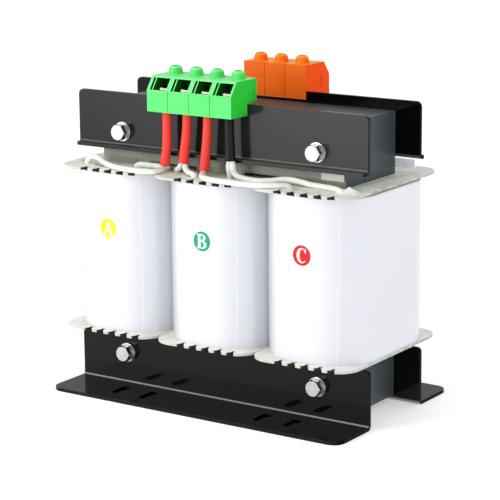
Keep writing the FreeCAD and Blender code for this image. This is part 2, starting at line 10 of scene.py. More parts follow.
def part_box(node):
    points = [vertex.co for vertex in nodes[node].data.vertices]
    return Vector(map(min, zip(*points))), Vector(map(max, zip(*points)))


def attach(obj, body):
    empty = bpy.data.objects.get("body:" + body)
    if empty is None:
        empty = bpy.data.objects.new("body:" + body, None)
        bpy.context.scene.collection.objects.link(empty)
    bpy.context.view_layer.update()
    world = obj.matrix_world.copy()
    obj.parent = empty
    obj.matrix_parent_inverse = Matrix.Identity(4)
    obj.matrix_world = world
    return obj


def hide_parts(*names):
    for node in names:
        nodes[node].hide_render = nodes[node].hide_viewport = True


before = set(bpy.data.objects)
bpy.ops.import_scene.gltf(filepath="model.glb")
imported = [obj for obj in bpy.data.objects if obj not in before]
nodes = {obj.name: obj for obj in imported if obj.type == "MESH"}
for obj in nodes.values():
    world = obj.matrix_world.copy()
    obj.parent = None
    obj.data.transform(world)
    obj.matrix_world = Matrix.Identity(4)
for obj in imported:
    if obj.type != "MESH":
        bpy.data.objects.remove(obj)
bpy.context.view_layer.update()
MM = 0.001

# Camera, fitted to the photograph's corners
VIEW_AZIMUTH = math.radians(34.13)
VIEW_ELEVATION = math.radians(12.71)
VIEW_ROLL = math.radians(-0.53)
VIEW_DISTANCE = 1.7723
VIEW_TARGET = Vector((0.0, 0.0, 0.13567))
FOCAL_PIXELS = 2027.7
IMAGE_PIXELS = 500
AXIS_PIXEL = (247.42, 241.04)
SENSOR_MM = 36.0
CLIP_END = 20.0

# Phase stickers on the front of the coils
STICKER_RADIUS = 9.8 * MM
STICKER_BORDER = 1.1 * MM
STICKER_THICKNESS = 0.12 * MM
STICKER_HEIGHT = 148.5 * MM
LETTER_HEIGHT = 12.4 * MM
LETTER_WIDTH = 0.86             # of its height
STICKER_COLOURS = {"a": (0.84, 0.8, 0.01), "b": (0.012, 0.36, 0.17), "c": (0.66, 0.018, 0.018)}
PRINT_THICKNESS = STICKER_THICKNESS / 3
DISC_SIDES = 96
DISC_WALL = 0.7                 # share of a disc's thickness below its eased rim
DISC_EASE = 0.6                 # the rim's reach inward, over the thickness
ARC_STEPS = 18

# Where the finishes change, from the part's middle and its ground
NOISE_RANGE = (0.3, 0.7)        # most values of a noise
SHEET_THICKNESS = 0.5 * MM      # one core lamination
PHASE_PITCH = 100.0 * MM        # from limb to limb
VARNISH_LEVEL = 204.5 * MM      # dried varnish on the core, just above the upper flanges
VARNISH_REACH = 4.5 * MM
LIGHT_RAMP_ENDS = (-130.0 * MM, 120.0 * MM)  # ends of each clamp's painted light ramp, from its left colour to its right
CORE_STAIN = (45.0 * MM, 72.0 * MM)     # depth over which the flanges' varnish fades out
RIM_DEPTH = (62.0 * MM, 77.0 * MM)      # the flanges' pale rim, at the front and rear
RIM_ACROSS = (134.0 * MM, 147.0 * MM)   # and at the ends
COMB_START = 66.0 * MM          # the flanges' teeth, from the middle of the core
COMB_REACH = 38.0 * MM          # to each side of a limb
COMB_SHADE = (54.0 * MM, 62.0 * MM)     # depth over which painted shade darkens the windings behind the combs
FRONT_CROWN = 6.0               # bulge of the film between the coils' corners, per metre
SIDE_CROWN = 1.6
FILM_END = 31.5 * MM            # where the film's last turn overlaps, from the limb's middle
FILM_OVERLAP = 0.8 * MM
FILM_WAVER = 1.2 * MM           # of that edge, from a straight line
WIRE_PITCH = 1.6 * MM
NEW_STRIP = 102.0 * MM          # past it the front pressboard is whiter
END_WALL = 0.5 * MM             # terminal blocks' outer walls
CHAMBER_FLOOR = 15.0 * MM       # above their underside
CHAMBER_ROOF = 8.4 * MM         # below the top of their domes

# Floor and light
FLOOR_REACH = 30.0
FLOOR_GLOW = 0.33
FEET_ENDS = (145.0 * MM, 150.0 * MM)    # edges of the painted shadow below the feet
FEET_INNER = (43.0 * MM, 47.0 * MM)
FEET_OUTER = (88.0 * MM, 92.0 * MM)
BACKDROP_COLOUR = (0.97, 0.98, 1.0, 1.0)
BACKDROP_STRENGTH = 0.8
LIGHTS = {                      # place, aim, size in metres and power in watts
    "key": ((-1.3, -2.0, 0.85), (0.0, 0.0, 0.15), (1.2, 1.2), 29.5),
    "strip": ((1.85, -0.75, 0.6), (0.0, 0.0, 0.15), (0.16, 1.4), 6.6),
    "low panel": ((-0.46, -0.40, 0.038), (-0.03, 0.0, 0.038), (0.56, 0.07), 0.36),
}


def camera():
    """The photograph's own view."""
    sin_a, cos_a = math.sin(VIEW_AZIMUTH), math.cos(VIEW_AZIMUTH)
    sin_e, cos_e = math.sin(VIEW_ELEVATION), math.cos(VIEW_ELEVATION)
    back = Vector((sin_a * cos_e, -cos_a * cos_e, sin_e))
    right = Vector((cos_a, sin_a, 0.0))
    up = back.cross(right)
    sin_r, cos_r = math.sin(VIEW_ROLL), math.cos(VIEW_ROLL)
    across = cos_r * right + sin_r * up
    upright = cos_r * up - sin_r * right
    data = bpy.data.cameras.new("camera")
    data.sensor_width = SENSOR_MM
    data.lens = FOCAL_PIXELS / IMAGE_PIXELS * SENSOR_MM
    data.shift_x = 0.5 - AXIS_PIXEL[0] / IMAGE_PIXELS
    data.shift_y = AXIS_PIXEL[1] / IMAGE_PIXELS - 0.5
    data.clip_end = CLIP_END
    obj = bpy.data.objects.new("camera", data)
    turn = Matrix((across, upright, back)).transposed().to_4x4()
    obj.matrix_world = Matrix.Translation(VIEW_TARGET + VIEW_DISTANCE * back) @ turn
    bpy.context.scene.collection.objects.link(obj)
    bpy.context.scene.camera = obj


# Shader building blocks
def socket_in(tree, target, value):
    """Sets an input: a socket is linked, anything else is its value."""
    if isinstance(value, bpy.types.NodeSocket):
        tree.links.new(value, target)
    else:
        target.default_value = value


def add(tree, kind, inputs=None, **settings):
    """A new node with its settings and inputs."""
    node = tree.nodes.new(kind)
    for name, value in settings.items():
        setattr(node, name, value)
    for key, value in (inputs or {}).items():
        socket_in(tree, node.inputs[key], value)
    return node


def maths(tree, operation, first, second=0.0, clamp=False):
    node = add(tree, "ShaderNodeMath", {0: first, 1: second}, operation=operation)
    node.use_clamp = clamp
    return node.outputs[0]


def mix_colour(tree, share, first, second):
    node = add(tree, "ShaderNodeMix", data_type="RGBA")
    socket_in(tree, node.inputs[0], share)
    socket_in(tree, node.inputs[6], first)
    socket_in(tree, node.inputs[7], second)
    return node.outputs[2]


def spread(tree, value, low, high, to_low, to_high):
    """Maps a value from one range to another, held at its ends."""
    node = add(tree, "ShaderNodeMapRange", {"Value": value, "From Min": low, "From Max": high,
                                            "To Min": to_low, "To Max": to_high})
    return node.outputs["Result"]


def vary(tree, value, to_low, to_high):
    """Follows a noise over the range where most of its values lie."""
    return spread(tree, value, *NOISE_RANGE, to_low, to_high)


def place(tree, scale=(1.0, 1.0, 1.0), offset=(0.0, 0.0, 0.0)):
    """Object coordinates in metres, scaled along each axis."""
    coords = add(tree, "ShaderNodeTexCoord").outputs["Object"]
    return add(tree, "ShaderNodeMapping", {"Vector": coords, "Scale": scale,
                                           "Location": offset}).outputs["Vector"]


def noise(tree, vector, scale, detail=3.0, roughness=0.5):
    return add(tree, "ShaderNodeTexNoise", {"Vector": vector, "Scale": scale, "Detail": detail,
                                            "Roughness": roughness}).outputs["Fac"]


def bump(tree, height, distance, strength=1.0, normal=None):
    node = add(tree, "ShaderNodeBump", {"Height": height, "Distance": distance,
                                        "Strength": strength})
    if normal is not None:
        tree.links.new(normal, node.inputs["Normal"])
    return node.outputs["Normal"]


def split(tree, vector):
    node = add(tree, "ShaderNodeSeparateXYZ", {0: vector})
    return node.outputs["X"], node.outputs["Y"], node.outputs["Z"]


def facing(tree):
    """The surface's own normal, axis by axis."""
    return split(tree, add(tree, "ShaderNodeNewGeometry").outputs["Normal"])


def near(tree, value, middle, reach):
    """One where the value is within reach of the middle."""
    node = add(tree, "ShaderNodeMath", {0: value, 1: middle, 2: reach}, operation="COMPARE")
    return node.outputs[0]


def product(tree, first, *others):
    """All the values multiplied."""
    for other in others:
        first = maths(tree, "MULTIPLY", first, other)
    return first


def rgba(colour, factor=1.0):
    return (colour[0] * factor, colour[1] * factor, colour[2] * factor, 1.0)


def finish(name):
    material = bpy.data.materials.new(name)
    material.use_nodes = True
    tree = material.node_tree
    return material, tree, tree.nodes["Principled BSDF"]


def dress(shader, tree, **values):
    """Sets the shader's inputs by their names, with _ for a space."""
    for name, value in values.items():
        socket_in(tree, shader.inputs[name.replace("_", " ")], value)


def group_tree(name, inputs, outputs):
    tree = bpy.data.node_groups.new(name, "ShaderNodeTree")
    for label, kind, value in inputs:
        socket = tree.interface.new_socket(name=label, in_out="INPUT", socket_type=kind)
        socket.default_value = value
    for label, kind in outputs:
        tree.interface.new_socket(name=label, in_out="OUTPUT", socket_type=kind)
    return tree, tree.nodes.new("NodeGroupInput"), tree.nodes.new("NodeGroupOutput")


def eased_edges_group():
    """Edges eased to a small radius, with a mask of where they are."""
    tree, source, result = group_tree(
        "eased edges", [("Radius", "NodeSocketFloat", 0.0005), ("Reach", "NodeSocketFloat", 6.0)],
        [("Mask", "NodeSocketFloat"), ("Normal", "NodeSocketVector")])
    soft = add(tree, "ShaderNodeBevel", {"Radius": source.outputs["Radius"]}, samples=4)
    flat = add(tree, "ShaderNodeNewGeometry").outputs["Normal"]
    meet = add(tree, "ShaderNodeVectorMath", {0: soft.outputs[0], 1: flat},
               operation="DOT_PRODUCT").outputs["Value"]
    off = maths(tree, "SUBTRACT", 1.0, meet)
    mask = maths(tree, "MULTIPLY", off, source.outputs["Reach"], clamp=True)
    tree.links.new(mask, result.inputs["Mask"])
    tree.links.new(soft.outputs[0], result.inputs["Normal"])
    return tree


def dust_group():
    """Dust that settles in patches on what faces up."""
    tree, source, result = group_tree(
        "settled dust", [("Amount", "NodeSocketFloat", 0.3), ("Scale", "NodeSocketFloat", 60.0)],
        [("Mask", "NodeSocketFloat")])
    upward = spread(tree, facing(tree)[2], 0.5, 0.95, 0.0, 1.0)
    patches = noise(tree, place(tree), source.outputs["Scale"], 5.0, 0.6)
    patchy = spread(tree, patches, 0.4, 0.7, 0.15, 1.0)
    mask = maths(tree, "MULTIPLY", product(tree, upward, patchy), source.outputs["Amount"],
                 clamp=True)
    tree.links.new(mask, result.inputs["Mask"])
    return tree


def mottle_group():
    """Cloudy unevenness of a moulded, painted or plated surface, about one half."""
    tree, source, result = group_tree(
        "mottle", [("Scale", "NodeSocketFloat", 40.0), ("Fine Scale", "NodeSocketFloat", 900.0)],
        [("Cloud", "NodeSocketFloat"), ("Grain", "NodeSocketFloat")])
    coords = place(tree)
    tree.links.new(noise(tree, coords, source.outputs["Scale"], 4.0), result.inputs["Cloud"])
    tree.links.new(noise(tree, coords, source.outputs["Fine Scale"], 2.0),
                   result.inputs["Grain"])
    return tree


EASED_EDGES = eased_edges_group()
SETTLED_DUST = dust_group()
MOTTLE = mottle_group()


def eased(tree, radius, reach=6.0):
    node = add(tree, "ShaderNodeGroup", {"Radius": radius, "Reach": reach},
               node_tree=EASED_EDGES)
    return node.outputs["Mask"], node.outputs["Normal"]


def dust(tree, amount, scale):
    node = add(tree, "ShaderNodeGroup", {"Amount": amount, "Scale": scale},
               node_tree=SETTLED_DUST)
    return node.outputs["Mask"]


def mottle(tree, scale, fine_scale):
    node = add(tree, "ShaderNodeGroup", {"Scale": scale, "Fine Scale": fine_scale},
               node_tree=MOTTLE)
    return node.outputs["Cloud"], node.outputs["Grain"]


def phase_place(tree, x):
    """Distance across from the middle of the nearest limb."""
    node = add(tree, "ShaderNodeMath", {0: x, 1: PHASE_PITCH / 2, 2: -PHASE_PITCH / 2},
               operation="WRAP")
    return node.outputs[0]


# Finishes
def laminated_steel():
    """Varnished silicon steel sheets seen on edge, stacked along Y."""
    material, tree, shader = finish("laminated steel")
    y, z = split(tree, place(tree))[1:]
    sheet = product(tree, y, 1.0 / SHEET_THICKNESS)
    number = maths(tree, "FLOOR", sheet)
    shade = add(tree, "ShaderNodeTexWhiteNoise", {"W": number},
                noise_dimensions="1D").outputs["Value"]
    gap = maths(tree, "PINGPONG", maths(tree, "FRACT", sheet), 0.5)
    groove = spread(tree, gap, 0.0, 0.12, 0.0, 1.0)
    streaks = noise(tree, place(tree, (30.0, 900.0, 30.0)), 1.0, 3.0)
    clouds = noise(tree, place(tree), 22.0, 4.0)
    dark = mix_colour(tree, clouds, (0.04, 0.052, 0.06, 1), (0.07, 0.088, 0.098, 1))
    light = mix_colour(tree, streaks, (0.06, 0.074, 0.083, 1), (0.12, 0.14, 0.152, 1))
    body = mix_colour(tree, shade, dark, light)
    rust = spread(tree, noise(tree, place(tree), 55.0, 6.0, 0.65), 0.66, 0.8, 0.0, 0.35)
    body = mix_colour(tree, rust, body, (0.075, 0.055, 0.04, 1))
    body = mix_colour(tree, dust(tree, 0.3, 45.0), body, (0.2, 0.2, 0.2, 1))
    ahead = maths(tree, "ABSOLUTE", facing(tree)[1])
    runs = spread(tree, noise(tree, place(tree, (1.0, 1.0, 0.4)), 120.0, 4.0), 0.3, 0.6, 0.5, 1.0)
    varnish = product(tree, near(tree, z, VARNISH_LEVEL, VARNISH_REACH),
                      maths(tree, "GREATER_THAN", ahead, 0.5), runs)
    body = mix_colour(tree, varnish, body, (0.27, 0.275, 0.22, 1))
    height = maths(tree, "ADD", groove, product(tree, shade, 0.8))
    dress(shader, tree, Base_Color=body, Metallic=0.55,
          Roughness=vary(tree, streaks, 0.34, 0.55),
          Normal=bump(tree, height, 0.00006, 0.8))
    return material


def clamp_paint(name, left, right, roughness, level, painted_bend_highlight, dustiness):
    """Gloss black paint over folded sheet, thin on the edges, with a painted light ramp from end
    to end, a painted highlight along the bends and painted shade on the end faces.
    """
    material, tree, shader = finish(name)
    cloud, grain = mottle(tree, 18.0, 700.0)
    wear, rounded = eased(tree, 0.0007, 4.0)
    # painted light: the colour ramps from the left end to the right end, standing in for the
    # light's gradient along the clamp
    length = split(tree, place(tree))[0]
    colour = mix_colour(tree, spread(tree, length, *LIGHT_RAMP_ENDS, 0.0, 1.0), left, right)
    body = mix_colour(tree, product(tree, cloud, 0.4), colour, (0.0, 0.0, 0.0, 1.0))
    chips = noise(tree, place(tree), 260.0, 5.0, 0.7)
    worn = product(tree, wear, spread(tree, chips, 0.5, 0.62, 0.05, 0.5))
    body = mix_colour(tree, worn, body, (0.12, 0.12, 0.12, 1.0))
    body = mix_colour(tree, dust(tree, dustiness, 70.0), body, (0.2, 0.2, 0.19, 1.0))
    across, ahead, up = facing(tree)
    # painted highlight: faces turned between front and top, on the bends, are painted a lighter
    # grey
    bend_highlight = maths(tree, "ABSOLUTE", product(tree, ahead, up))
    bend_highlight = spread(tree, bend_highlight, 0.15, 0.45, 0.0, painted_bend_highlight)
    body = mix_colour(tree, bend_highlight, body, (0.3, 0.3, 0.295, 1.0))
    # painted shade: the faces at the clamp's ends are painted near black and given less gloss
    end_face_shade = maths(tree, "GREATER_THAN", maths(tree, "ABSOLUTE", across), 0.7)
    body = mix_colour(tree, product(tree, end_face_shade, 0.9), body, (0.0, 0.0, 0.0, 1.0))
    sheen = product(tree, spread(tree, up, 0.5, 0.9, level, level * 0.5),
                    spread(tree, end_face_shade, 0.0, 1.0, 1.0, 0.25))
    dress(shader, tree, Base_Color=body, Specular_IOR_Level=sheen,
          Roughness=vary(tree, cloud, roughness * 0.85, roughness * 1.2),
          Normal=bump(tree, grain, 0.00003, 0.35, rounded))
    return material


def bare_metal(name, scales, ease, dull, bright, worn, roughness, grain_depth):
    """Plated metal, cloudy, and polished along its edges."""
    material, tree, shader = finish(name)
    cloud, grain = mottle(tree, *scales)
    wear, rounded = eased(tree, ease)
    body = mix_colour(tree, wear, mix_colour(tree, cloud, dull, bright), worn)
    dress(shader, tree, Base_Color=body, Metallic=1.0, Roughness=vary(tree, cloud, *roughness),
          Normal=bump(tree, grain, grain_depth, 0.4, rounded))
    return material


def bobbin_plastic():
    """Ivory moulding with a green cast, stained by varnish near the winding, with painted light
    on its tops and painted shade in the comb's slits.
    """
    material, tree, shader = finish("bobbin plastic")
    cloud, grain = mottle(tree, 70.0, 1400.0)
    wear, rounded = eased(tree, 0.0006)
    body = mix_colour(tree, cloud, (0.45, 0.48, 0.405, 1), (0.6, 0.63, 0.555, 1))
    x, y = split(tree, place(tree))[:2]
    depth = maths(tree, "ABSOLUTE", y)
    beside_core = spread(tree, depth, *CORE_STAIN, 1.0, 0.0)
    stain = spread(tree, noise(tree, place(tree), 90.0, 6.0, 0.7), 0.42, 0.62, 0.0, 0.75)
    varnish = product(tree, beside_core, stain)
    body = mix_colour(tree, varnish, body, (0.2, 0.215, 0.16, 1))
    rim = maths(tree, "MAXIMUM", spread(tree, depth, *RIM_DEPTH, 0.0, 1.0),
                spread(tree, maths(tree, "ABSOLUTE", x), *RIM_ACROSS, 0.0, 1.0))
    # painted light: faces turned upward are painted paler
    painted_top_light = spread(tree, facing(tree)[2], 0.7, 0.95, 0.0, 0.4)
    body = mix_colour(tree, painted_top_light, body, (0.93, 0.95, 0.83, 1))
    body = mix_colour(tree, dust(tree, 1.0, 60.0), body, (0.95, 0.97, 0.84, 1))
    body = mix_colour(tree, product(tree, rim, dust(tree, 1.0, 200.0)), body,
                      (0.95, 0.96, 0.9, 1))
    body = mix_colour(tree, wear, body, (0.7, 0.73, 0.68, 1))
    # painted shade: the side faces of the comb's slits are painted near black and given little
    # gloss
    sideways = maths(tree, "ABSOLUTE", facing(tree)[0])
    slit_shade = product(tree, maths(tree, "GREATER_THAN", sideways, 0.55),
                   maths(tree, "GREATER_THAN", depth, COMB_START),
                   near(tree, phase_place(tree, x), 0.0, COMB_REACH))
    body = mix_colour(tree, product(tree, slit_shade, 0.97), body, (0.02, 0.021, 0.018, 1))
    dress(shader, tree, Base_Color=body, Subsurface_Weight=0.18,
          Subsurface_Radius=(0.004, 0.004, 0.003),
          Specular_IOR_Level=spread(tree, slit_shade, 0.0, 1.0, 0.45, 0.03),
          Roughness=vary(tree, cloud, 0.35, 0.55),
          Normal=bump(tree, grain, 0.00006, 0.4, rounded))
    return material


def film_wrap():
    """Glossy white film, wound round in turns that ripple a little."""
    material, tree, shader = finish("film wrap")
    cloud = noise(tree, place(tree), 14.0, 3.0)
    pleats = noise(tree, place(tree, (1.0, 1.0, 0.06)), 46.0, 2.0)
    bands = noise(tree, place(tree, (1.0, 1.0, 0.1)), 60.0, 2.0)
    x, y = split(tree, place(tree))[:2]
    within_phase = phase_place(tree, x)
    crown = maths(tree, "ADD", product(tree, within_phase, within_phase, -FRONT_CROWN),
                  product(tree, y, y, -SIDE_CROWN))
    body = mix_colour(tree, cloud, (0.665, 0.67, 0.715, 1), (0.72, 0.725, 0.765, 1))
    waver = vary(tree, noise(tree, place(tree), 9.0, 2.0), -FILM_WAVER, FILM_WAVER)
    edge = maths(tree, "ADD", within_phase, waver)
    # the film's last turn overlaps here, and the line is painted lighter: partly the real
    # overlapping edge, partly a painted highlight along it
    overlap_and_highlight = near(tree, edge, FILM_END, FILM_OVERLAP)
    body = mix_colour(tree, product(tree, overlap_and_highlight, 0.2), body, (0.9, 0.9, 0.93, 1))
    ripples = maths(tree, "ADD", pleats, product(tree, overlap_and_highlight, 0.04))
    dress(shader, tree, Base_Color=body, Coat_Weight=0.25, Coat_Roughness=0.06,
          Roughness=vary(tree, bands, 0.12, 0.18),
          Normal=bump(tree, ripples, 0.0012, 0.16, bump(tree, crown, 1.0)))
    return material


def copper_wire():
    """Enamelled wire, laid turn by turn."""
    material, tree, shader = finish("enamelled copper")
    height = split(tree, place(tree))[2]
    turns = maths(tree, "PINGPONG", product(tree, height, 1.0 / WIRE_PITCH), 0.5)
    cloud, grain = mottle(tree, 60.0, 1800.0)
    body = mix_colour(tree, cloud, (0.42, 0.13, 0.04, 1), (0.68, 0.26, 0.09, 1))
    body = mix_colour(tree, product(tree, grain, 0.4), body, (0.75, 0.35, 0.14, 1))
    dress(shader, tree, Base_Color=body, Metallic=0.85,
          Roughness=vary(tree, cloud, 0.22, 0.38),
          Normal=bump(tree, turns, 0.0004, 0.9))
    return material


def winding_tape():
    """Tape over the outer layer: pale at the sides, with painted shade behind the combs."""
    material, tree, shader = finish("winding tape")
    cloud, grain = mottle(tree, 80.0, 1500.0)
    body = mix_colour(tree, cloud, (0.72, 0.74, 0.68, 1), (0.84, 0.86, 0.8, 1))
    depth = maths(tree, "ABSOLUTE", split(tree, place(tree))[1])
    # painted shade: behind the combs the tape is painted near black and given little gloss
    painted_comb_shade = spread(tree, depth, *COMB_SHADE, 0.0, 0.97)
    body = mix_colour(tree, painted_comb_shade, body, (0.012, 0.012, 0.01, 1))
    dress(shader, tree, Base_Color=body, Roughness=vary(tree, cloud, 0.4, 0.6),
          Specular_IOR_Level=spread(tree, painted_comb_shade, 0.0, 0.97, 0.4, 0.02),
          Normal=bump(tree, grain, 0.00008, 0.5))
    return material


def pressboard(name, pale, dark, end_x=None):
    """Insulating board with pressed fibres. Past end_x it is a newer, whiter piece."""
    material, tree, shader = finish(name)
    fibres = noise(tree, place(tree, (220.0, 220.0, 900.0)), 1.0, 4.0, 0.6)
    clouds = noise(tree, place(tree), 28.0, 5.0, 0.6)
    body = mix_colour(tree, clouds, dark, pale)
    body = mix_colour(tree, spread(tree, fibres, 0.5, 0.75, 0.0, 0.4), body, (0.4, 0.4, 0.35, 1))
    if end_x is not None:
        newer = maths(tree, "GREATER_THAN", split(tree, place(tree))[0], end_x)
        body = mix_colour(tree, newer, body, (0.66, 0.665, 0.62, 1))
    dress(shader, tree, Base_Color=body, Roughness=vary(tree, fibres, 0.45, 0.65),
          Normal=bump(tree, fibres, 0.00008, 0.5))
    return material


def terminal_plastic(name, front, side, top, inside):
    """Glossy moulded housing with faint flow marks, painted lighter on its front and top and
    darker on its sides, and with painted shade deep in the wire chambers.
    """
    material, tree, shader = finish(name)
    cloud, grain = mottle(tree, 50.0, 1600.0)
    wear, rounded = eased(tree, 0.0004, 5.0)
    flow = noise(tree, place(tree, (4.0, 1.0, 0.6)), 40.0, 3.0)
    x, y, z = split(tree, place(tree))
    across, ahead, up = facing(tree)
    # painted light and shade: the front and top faces take lighter copies of the colour, the
    # sides a darker, shaded one
    level = spread(tree, maths(tree, "ABSOLUTE", ahead), 0.5, 0.9, 0.0, 1.0)
    body = mix_colour(tree, level, rgba(side), rgba(front))
    body = mix_colour(tree, spread(tree, up, 0.1, 0.7, 0.0, 1.0), body, rgba(top))
    body = mix_colour(tree, product(tree, cloud, 0.4), body, rgba(side, 0.85))
    body = mix_colour(tree, product(tree, wear, 0.5), body,
                      rgba([min(1.0, c * 1.25 + 0.05) for c in front]))
    body = mix_colour(tree, spread(tree, flow, 0.55, 0.8, 0.0, 0.25), body, rgba(side, 0.9))
    # painted shade: inside the chambers' box, the side and downward faces are painted near black
    within = product(tree, *(near(tree, value, (low + high) / 2, (high - low) / 2)
                             for value, low, high in zip((x, y, z), *inside)))
    sideways = maths(tree, "ABSOLUTE", across)
    painted_chamber_shade = maths(tree, "MAXIMUM", maths(tree, "GREATER_THAN", sideways, 0.7),
                   maths(tree, "LESS_THAN", up, -0.5))
    body = mix_colour(tree, product(tree, within, painted_chamber_shade, 0.88), body, rgba(side, 0.06))
    dress(shader, tree, Base_Color=body, Subsurface_Weight=0.06,
          Subsurface_Radius=(0.002, 0.003, 0.002),
          Specular_IOR_Level=spread(tree, sideways, 0.5, 0.9, 0.12, 0.03),
          Roughness=vary(tree, cloud, 0.28, 0.4),
          Normal=bump(tree, grain, 0.00005, 0.3, rounded))
    return material


def sleeving(name, colour, shade, level):
    """Coated woven sleeve with fine lengthwise threads."""
    material, tree, shader = finish(name)
    threads = noise(tree, place(tree, (1500.0, 1500.0, 60.0)), 1.0, 2.0)
    cloud, grain = mottle(tree, 90.0, 2400.0)
    body = mix_colour(tree, threads, shade, colour)
    body = mix_colour(tree, product(tree, cloud, 0.3), body, colour)
    height = maths(tree, "ADD", threads, product(tree, grain, 0.4))
    dress(shader, tree, Base_Color=body, Specular_IOR_Level=level,
          Roughness=vary(tree, cloud, 0.38, 0.55), Normal=bump(tree, height, 0.00012, 0.5))
    return material


def glass_braid():
    """White glass-silk sleeve, braided and lightly varnished."""
    material, tree, shader = finish("glass silk sleeve")
    strands = [add(tree, "ShaderNodeTexWave", {"Vector": place(tree, (way, 1.0, 1.0)),
                                               "Scale": 300.0, "Distortion": 1.2, "Detail": 1.0},
                   wave_type="BANDS", bands_direction="DIAGONAL").outputs["Fac"]
               for way in (1.0, -1.0)]
    weave = maths(tree, "MAXIMUM", *strands)
    clouds = noise(tree, place(tree), 130.0, 5.0, 0.65)
    body = mix_colour(tree, clouds, (0.7, 0.73, 0.66, 1), (0.92, 0.94, 0.9, 1))
    body = mix_colour(tree, product(tree, weave, 0.25), (0.62, 0.64, 0.56, 1), body)
    body = mix_colour(tree, 0.75, body, mix_colour(tree, clouds, (0.78, 0.8, 0.73, 1),
                                                   (0.94, 0.95, 0.92, 1)))
    dress(shader, tree, Base_Color=body, Roughness=vary(tree, clouds, 0.45, 0.7),
          Normal=bump(tree, weave, 0.00015, 0.6))
    return material


def sticker_print(name, colour, shade):
    """Half-gloss print with hardly any unevenness."""
    material, tree, shader = finish(name)
    cloud, grain = mottle(tree, 160.0, 3000.0)
    body = mix_colour(tree, cloud, shade, colour)
    dress(shader, tree, Base_Color=body, Specular_IOR_Level=0.15,
          Roughness=vary(tree, cloud, 0.28, 0.36), Normal=bump(tree, grain, 0.00002, 0.3))
    return material


def coat(mesh, material):
    """Gives a mesh this material and no other."""
    mesh.materials.clear()
    mesh.materials.append(material)


def cover(names, material):
    for name in names:
        coat(nodes[name].data, material)


def family(*starts):
    """Names of the nodes that start with any of these."""
    return [name for name in sorted(nodes) if name.startswith(starts)]


def chambers(name):
    """Box round the wire chambers of a terminal block, within its end walls."""
    low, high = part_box(name)
    inset = Vector((END_WALL, END_WALL, CHAMBER_FLOOR))
    top = Vector((END_WALL, END_WALL, CHAMBER_ROOF))
    return low + inset, high - top


def dress_nodes():
    """Finishes of the part's own nodes, apart from the sleeves and leads."""
    cover(family("core_"), laminated_steel())
    # each clamp's two colours are the ends of its painted light ramp
    cover(["upper_clamp_front"],
          clamp_paint("upper clamp paint", (0.001, 0.001, 0.001, 1.0), (0.034, 0.034, 0.031, 1.0),
                      roughness=0.13, level=0.3, painted_bend_highlight=0.3, dustiness=0.03))
    cover(["upper_clamp_rear"],
          clamp_paint("rear clamp paint", (0.002, 0.002, 0.002, 1.0), (0.001, 0.001, 0.001, 1.0),
                      roughness=0.13, level=0.12, painted_bend_highlight=0.3, dustiness=0.02))
    cover(family("lower_clamp"),
          clamp_paint("lower clamp paint", (0.005, 0.005, 0.005, 1.0), (0.003, 0.003, 0.003, 1.0),
                      roughness=0.09, level=0.17, painted_bend_highlight=0.9, dustiness=0.008))
    zinc = bare_metal("zinc plate", scales=(140.0, 2200.0), ease=0.0004,
                      dull=(0.4, 0.4, 0.39, 1), bright=(0.6, 0.6, 0.585, 1),
                      worn=(0.78, 0.78, 0.76, 1), roughness=(0.2, 0.34), grain_depth=0.00003)
    cover(["through_bolts", "flat_washers", "spring_washers", "hex_nuts"], zinc)
    cover(family("green_cages", "green_screws", "orange_cages", "orange_screws"), zinc)
    cover(family("green_tongues", "orange_tongues"),
          bare_metal("tinned contact", scales=(200.0, 2500.0), ease=0.0002,
                     dull=(0.42, 0.39, 0.3, 1), bright=(0.62, 0.58, 0.48, 1),
                     worn=(0.72, 0.69, 0.6, 1), roughness=(0.22, 0.36), grain_depth=0.00002))
    cover(family("bobbin_"), bobbin_plastic())
    cover(family("coil_wrap"), film_wrap())
    cover(family("inner_winding"), copper_wire())
    cover(family("outer_winding"), winding_tape())
    board = pressboard("pressboard", (0.33, 0.345, 0.29, 1), (0.15, 0.16, 0.125, 1), NEW_STRIP)
    cover(["pressboard_upper_front", "pressboard_lower_front", "pressboard_lower_rear"], board)
    cover(["pressboard_upper_rear"] + family("barrier_"),
          pressboard("pale pressboard", (0.96, 0.95, 0.99, 1), (0.86, 0.85, 0.89, 1)))
    cover(["bolt_tubes"], pressboard("paper tube", (0.5, 0.4, 0.26, 1), (0.36, 0.28, 0.17, 1)))
    # front, side and top colours are painted lit and shaded copies of each plastic
    cover(["green_terminal_block"],
          terminal_plastic("green housing", (0.125, 0.68, 0.19), (0.03, 0.6, 0.045),
                           (0.28, 1.0, 0.36), chambers("green_terminal_block")))
    cover(["orange_terminal_block"],
          terminal_plastic("orange housing", (1.0, 0.18, 0.012), (1.0, 0.085, 0.002),
                           (1.0, 0.4, 0.012), chambers("orange_terminal_block")))


# Drawing pieces
def piece(name, mesh, material):
    """A visible piece that rides the part's one body."""
    coat(mesh, material)
    obj = bpy.data.objects.new(name, mesh)
    bpy.context.scene.collection.objects.link(obj)
    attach(obj, "root")
    return obj


def around(sides):
    """Cosine and sine of evenly spaced angles."""
    angles = [2 * math.pi * step / sides for step in range(sides)]
    return [(math.cos(angle), math.sin(angle)) for angle in angles]


def ring_faces(work, rings):
    """Joins each ring of corners to the next."""
    for first, second in zip(rings[:-1], rings[1:]):
        count = len(first)
        for step in range(count):
            after = (step + 1) % count
            work.faces.new((first[step], first[after], second[after], second[step]))


def capped_rings(work, rings):
    """Solid between the first ring and the last."""
    ring_faces(work, rings)
    work.faces.new(rings[-1])
    work.faces.new(rings[0][::-1])


def outward_mesh(name, work, smooth=False):
    """Mesh of the drawn faces, turned outward. A smooth one keeps its end faces flat."""
    bmesh.ops.recalc_face_normals(work, faces=work.faces)
    mesh = bpy.data.meshes.new(name)
    work.to_mesh(mesh)
    work.free()
    for face in mesh.polygons:
        face.use_smooth = smooth and len(face.vertices) <= 4
    return mesh


